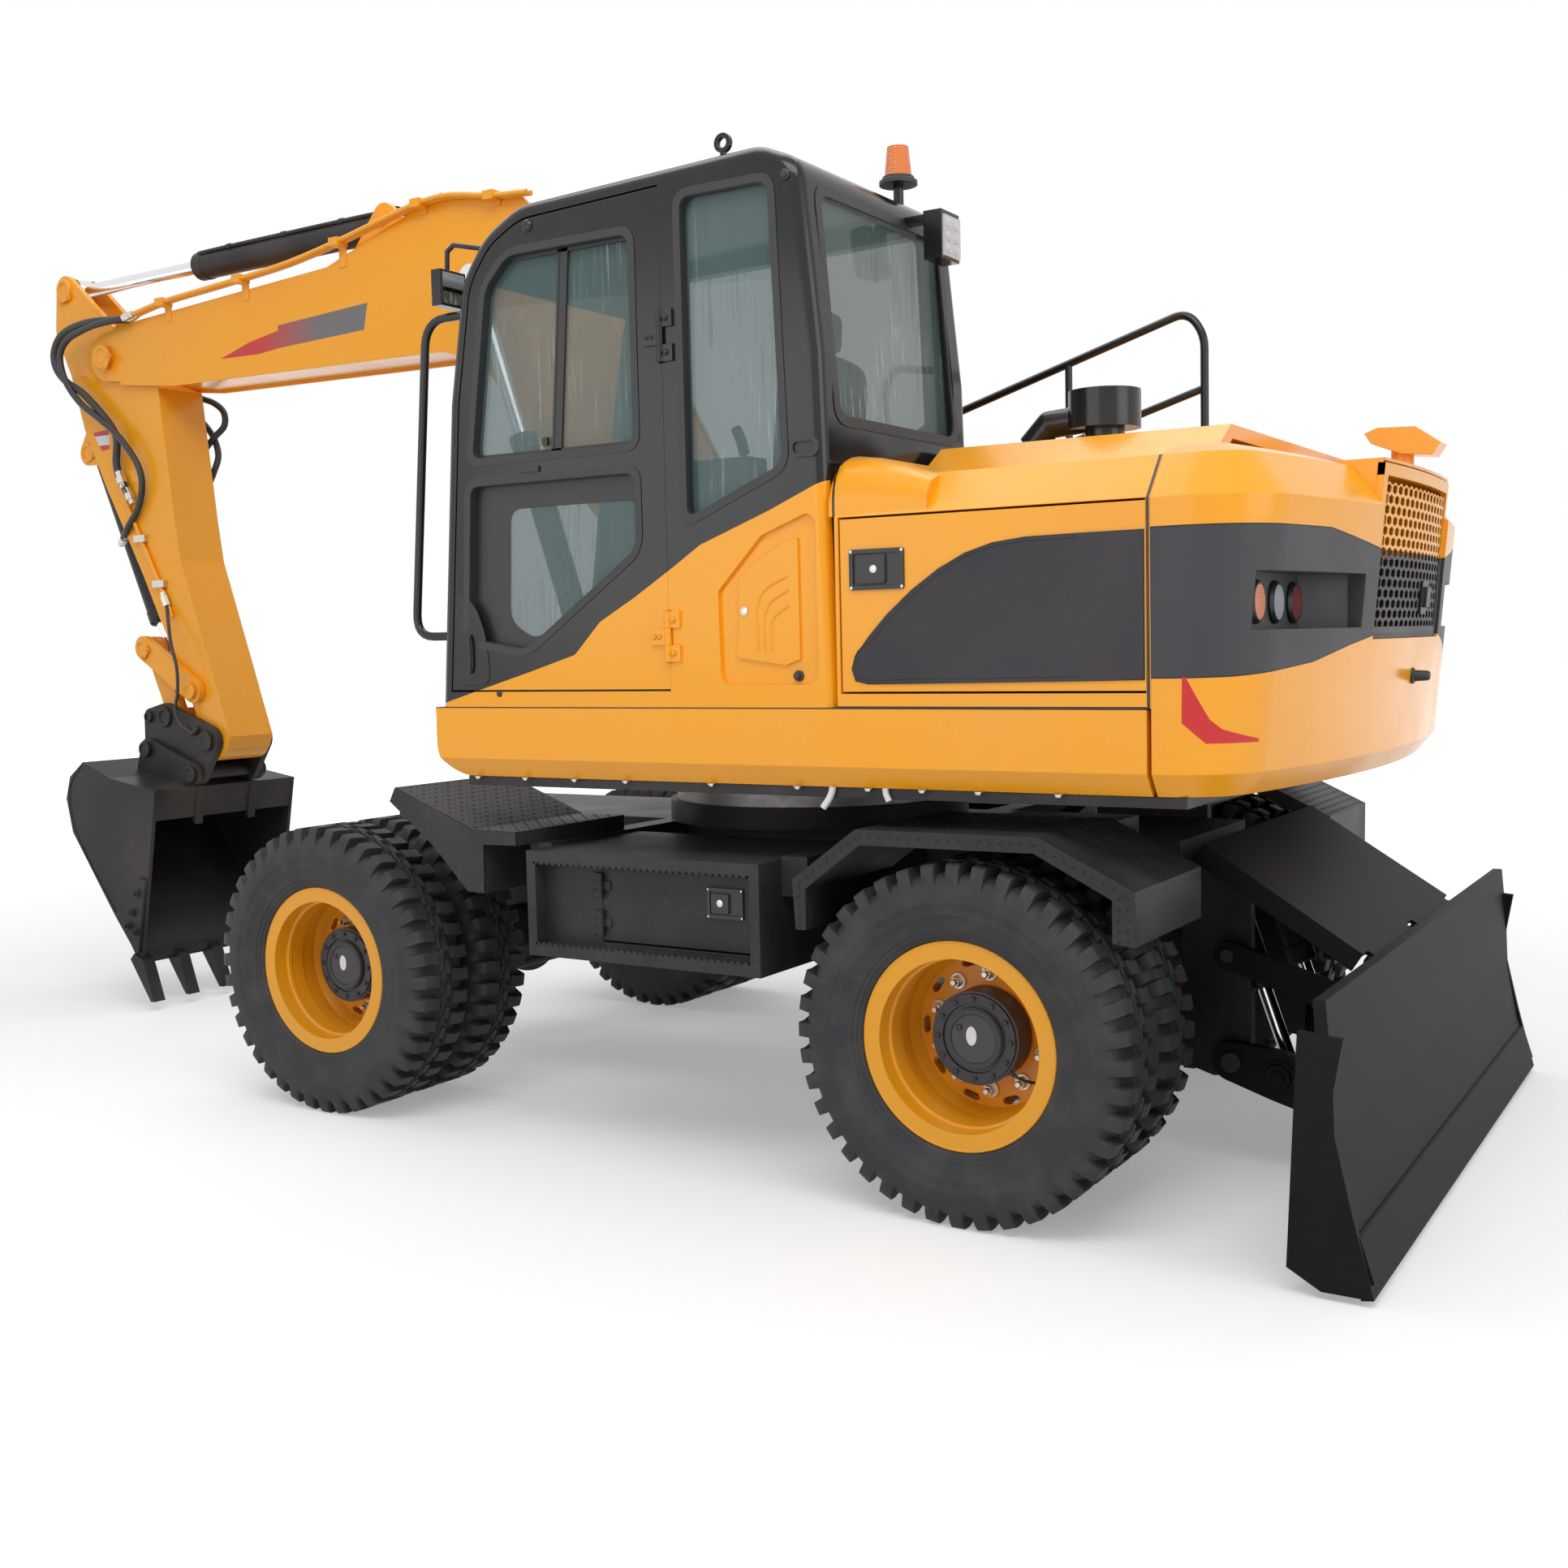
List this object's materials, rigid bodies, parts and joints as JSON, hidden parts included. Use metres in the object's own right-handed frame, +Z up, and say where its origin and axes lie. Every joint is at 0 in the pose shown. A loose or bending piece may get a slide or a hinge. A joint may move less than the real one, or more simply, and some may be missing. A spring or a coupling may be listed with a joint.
{
  "type": "wheeled excavator",
  "caption": "Wheeled excavator with a slewing cab, a hinged boom, arm and bucket, twin tyres on steered and fixed axles, and a dozer blade.",
  "frame": {"origin": "on the ground, in the middle of the machine's overall length and width", "axes": "+X forward towards the boom and bucket, +Y to the cab side, the left of the driver, +Z up"},
  "size_m": [6.495, 2.476, 3.463],
  "materials": {
    "orange_paint": "gloss enamel",
    "black_paint": "satin enamel",
    "cab_paint": "gloss dark grey enamel",
    "wheel_paint": "gloss enamel",
    "tyre_rubber": "matt black rubber",
    "clear_glass": "clear",
    "lamp_lens": "amber, white and red lenses",
    "rod_chrome": "polished",
    "ring_steel": "machined",
    "engine_iron": "painted",
    "seat_cloth": "woven",
    "console_plastic": "grained"
  },
  "bodies": {
    "chassis": {"chassis_frame": "black_paint", "slew_ring": "ring_steel", "rear_axle": "black_paint", "front_axle": "black_paint", "drive_line": "black_paint", "tool_boxes": "black_paint", "rear_fenders": "black_paint", "front_fenders": "black_paint"},
    "upper": {"upper_frame": "black_paint", "side_skirts": "orange_paint", "counterweight": "orange_paint", "rear_grille": "black_paint", "engine_hood": "orange_paint", "engine_block": "engine_iron", "right_tanks": "orange_paint", "cab_shell": "cab_paint", "cab_glass": "clear_glass", "seat": "seat_cloth", "console": "console_plastic", "handrails": "cab_paint", "stacks": "black_paint", "mirrors": "cab_paint", "lamps": "lamp_lens", "exhaust_cover": "orange_paint"},
    "boom": {"boom": "orange_paint"},
    "boom_barrels": {"boom_barrels": "black_paint"},
    "boom_rods": {"boom_rods": "rod_chrome"},
    "arm_barrel": {"arm_barrel": "black_paint"},
    "arm_rod": {"arm_rod": "rod_chrome"},
    "arm": {"arm": "orange_paint"},
    "bucket_barrel": {"bucket_barrel": "black_paint"},
    "bucket_rod": {"bucket_rod": "rod_chrome"},
    "guide_links": {"guide_links": "orange_paint"},
    "push_link": {"push_link": "orange_paint"},
    "bucket": {"coupler": "black_paint", "bucket": "black_paint"},
    "knuckle_left": {"knuckle_left": "black_paint"},
    "knuckle_right": {"knuckle_right": "black_paint"},
    "track_rod": {"track_rod": "black_paint"},
    "cab_door": {"cab_door": "cab_paint", "door_glass": "clear_glass"},
    "service_door_left": {"service_door_left": "orange_paint"},
    "service_door_right": {"service_door_right": "orange_paint"},
    "hood_lid": {"hood_lid": "orange_paint"},
    "tool_box_door_left": {"tool_box_door_left": "black_paint"},
    "tool_box_door_right": {"tool_box_door_right": "black_paint"},
    "blade_arms": {"blade_arms": "black_paint"},
    "blade_links": {"blade_links": "black_paint"},
    "blade": {"blade": "black_paint"},
    "blade_cover": {"blade_cover": "black_paint"},
    "blade_barrels": {"blade_barrels": "black_paint"},
    "blade_rods": {"blade_rods": "rod_chrome"},
    "wheel_front_left": {"tyres_front_left": "tyre_rubber", "wheel_front_left": "wheel_paint"},
    "wheel_front_right": {"tyres_front_right": "tyre_rubber", "wheel_front_right": "wheel_paint"},
    "wheel_rear_left": {"tyres_rear_left": "tyre_rubber", "wheel_rear_left": "wheel_paint"},
    "wheel_rear_right": {"tyres_rear_right": "tyre_rubber", "wheel_rear_right": "wheel_paint"}
  },
  "joints": [
    {"name": "slew", "type": "hinge", "parent": "chassis", "child": "upper", "pos_m": [-0.995, 0, 1.12], "axis": [0, 0, 1], "continuous": true},
    {"name": "boom_lift", "type": "hinge", "parent": "upper", "child": "boom", "pos_m": [-0.645, 0, 1.75], "axis": [0, -1, 0], "range_deg": [-48, 28]},
    {"name": "boom_barrel_swing", "type": "hinge", "parent": "upper", "child": "boom_barrels", "pos_m": [-0.195, 0, 1.36], "axis": [0, -1, 0], "range_deg": [-44.78, 26.33]},
    {"name": "boom_rod_slide", "type": "slide", "parent": "boom_barrels", "child": "boom_rods", "axis": [0.3196, 0, 0.9476], "range_m": [-0.4711, 0.2761]},
    {"name": "arm_swing", "type": "hinge", "parent": "boom", "child": "arm", "pos_m": [2.783, 0, 3.019], "axis": [0, 1, 0], "range_deg": [-85, 22]},
    {"name": "arm_barrel_swing", "type": "hinge", "parent": "boom", "child": "arm_barrel", "pos_m": [0.986, 0, 3.403], "axis": [0, 1, 0], "range_deg": [-6.11, 1.95]},
    {"name": "arm_rod_slide", "type": "slide", "parent": "arm_barrel", "child": "arm_rod", "axis": [1, 0, -0.0079], "range_m": [-0.68, 0.1782]},
    {"name": "bucket_curl", "type": "hinge", "parent": "arm", "child": "bucket", "pos_m": [2.185, 0, 1.22], "axis": [0, 1, 0], "range_deg": [-10, 135]},
    {"name": "guide_link_swing", "type": "hinge", "parent": "arm", "child": "guide_links", "pos_m": [2.28, 0, 1.45], "axis": [0, 1, 0], "range_deg": [-8.71, 111.29]},
    {"name": "push_link_swing", "type": "hinge", "parent": "guide_links", "child": "push_link", "pos_m": [2.615, 0, 1.655], "axis": [0, 1, 0], "range_deg": [-71.53, 5.76]},
    {"name": "bucket_barrel_swing", "type": "hinge", "parent": "arm", "child": "bucket_barrel", "pos_m": [3.037, 0, 2.599], "axis": [0, 1, 0], "range_deg": [-4.81, 0.82]},
    {"name": "bucket_rod_slide", "type": "slide", "parent": "bucket_barrel", "child": "bucket_rod", "axis": [-0.4081, 0, -0.9129], "range_m": [-0.0505, 0.6437]},
    {"name": "steer_left", "type": "hinge", "parent": "chassis", "child": "knuckle_left", "pos_m": [0.329, 0.6, 0.505], "axis": [0, 0, 1], "range_deg": [-30, 30]},
    {"name": "steer_right", "type": "hinge", "parent": "chassis", "child": "knuckle_right", "pos_m": [0.329, -0.6, 0.505], "axis": [0, 0, 1], "range_deg": [-31, 31]},
    {"name": "track_rod_slide", "type": "slide", "parent": "chassis", "child": "track_rod", "axis": [0, 1, 0], "range_m": [-0.13, 0.13]},
    {"name": "wheel_front_left_spin", "type": "hinge", "parent": "knuckle_left", "child": "wheel_front_left", "pos_m": [0.329, 0.9625, 0.505], "axis": [0, 1, 0], "continuous": true},
    {"name": "wheel_front_right_spin", "type": "hinge", "parent": "knuckle_right", "child": "wheel_front_right", "pos_m": [0.329, -0.9625, 0.505], "axis": [0, 1, 0], "continuous": true},
    {"name": "wheel_rear_left_spin", "type": "hinge", "parent": "chassis", "child": "wheel_rear_left", "pos_m": [-2.145, 0.9625, 0.505], "axis": [0, 1, 0], "continuous": true},
    {"name": "wheel_rear_right_spin", "type": "hinge", "parent": "chassis", "child": "wheel_rear_right", "pos_m": [-2.145, -0.9625, 0.505], "axis": [0, 1, 0], "continuous": true},
    {"name": "cab_door_swing", "type": "hinge", "parent": "upper", "child": "cab_door", "pos_m": [-1.227, 1.226, 2.2], "axis": [0, 0, 1], "range_deg": [0, 165]},
    {"name": "service_door_left_swing", "type": "hinge", "parent": "upper", "child": "service_door_left", "pos_m": [-2.6977, 1.22, 1.7], "axis": [0, 0, 1], "range_deg": [0, 110]},
    {"name": "service_door_right_swing", "type": "hinge", "parent": "upper", "child": "service_door_right", "pos_m": [-2.6977, -1.22, 1.7], "axis": [0, 0, -1], "range_deg": [0, 110]},
    {"name": "hood_lid_swing", "type": "hinge", "parent": "upper", "child": "hood_lid", "pos_m": [-1.8803, 0, 2.2], "axis": [0, 1, 0], "range_deg": [0, 60]},
    {"name": "tool_box_door_left_swing", "type": "hinge", "parent": "chassis", "child": "tool_box_door_left", "pos_m": [-0.889, 1.161, 0.81], "axis": [0, 0, -1], "range_deg": [0, 100]},
    {"name": "tool_box_door_right_swing", "type": "hinge", "parent": "chassis", "child": "tool_box_door_right", "pos_m": [-0.889, -1.161, 0.81], "axis": [0, 0, 1], "range_deg": [0, 100]},
    {"name": "blade_lift", "type": "hinge", "parent": "chassis", "child": "blade_arms", "pos_m": [-2.645, 0, 0.33], "axis": [0, 1, 0], "range_deg": [-12, 45]},
    {"name": "blade_level", "type": "hinge", "parent": "blade_arms", "child": "blade", "pos_m": [-3.045, 0, 0.2], "axis": [0, 1, 0], "range_deg": [-45.5, 12.5]},
    {"name": "blade_link_swing", "type": "hinge", "parent": "chassis", "child": "blade_links", "pos_m": [-2.645, 0, 0.66], "axis": [0, 1, 0], "range_deg": [-12.5, 45.5]},
    {"name": "blade_cover_swing", "type": "hinge", "parent": "blade", "child": "blade_cover", "pos_m": [-3.088, 0, 0.7], "axis": [0, 1, 0], "range_deg": [-10.22, 36.95]},
    {"name": "blade_barrel_swing", "type": "hinge", "parent": "chassis", "child": "blade_barrels", "pos_m": [-2.59, 0, 0.85], "axis": [0, 1, 0], "range_deg": [-1.37, 3.75]},
    {"name": "blade_rod_slide", "type": "slide", "parent": "blade_barrels", "child": "blade_rods", "axis": [-0.3342, 0, -0.9425], "range_m": [-0.1083, 0.0311]}
  ],
  "couplings": [
    {"joint": "boom_barrel_swing", "follows": "boom_lift", "ratio": 0.9226},
    {"joint": "boom_rod_slide", "follows": "boom_lift", "m_per_rad": 0.55874},
    {"joint": "arm_barrel_swing", "follows": "arm_swing", "ratio": 0.065963},
    {"joint": "arm_rod_slide", "follows": "arm_swing", "m_per_rad": 0.45632},
    {"joint": "guide_link_swing", "follows": "bucket_curl", "ratio": 0.8207},
    {"joint": "push_link_swing", "follows": "bucket_curl", "ratio": -0.52616},
    {"joint": "bucket_barrel_swing", "follows": "bucket_curl", "ratio": -0.031914},
    {"joint": "bucket_rod_slide", "follows": "bucket_curl", "m_per_rad": 0.27193},
    {"joint": "steer_right", "follows": "steer_left", "ratio": 1},
    {"joint": "track_rod_slide", "follows": "steer_left", "m_per_rad": -0.235},
    {"joint": "blade_level", "follows": "blade_lift", "ratio": -1},
    {"joint": "blade_link_swing", "follows": "blade_lift", "ratio": 1},
    {"joint": "blade_cover_swing", "follows": "blade_lift", "ratio": 0.81},
    {"joint": "blade_barrel_swing", "follows": "blade_lift", "ratio": 0.072264},
    {"joint": "blade_rod_slide", "follows": "blade_lift", "m_per_rad": -0.1341}
  ]
}
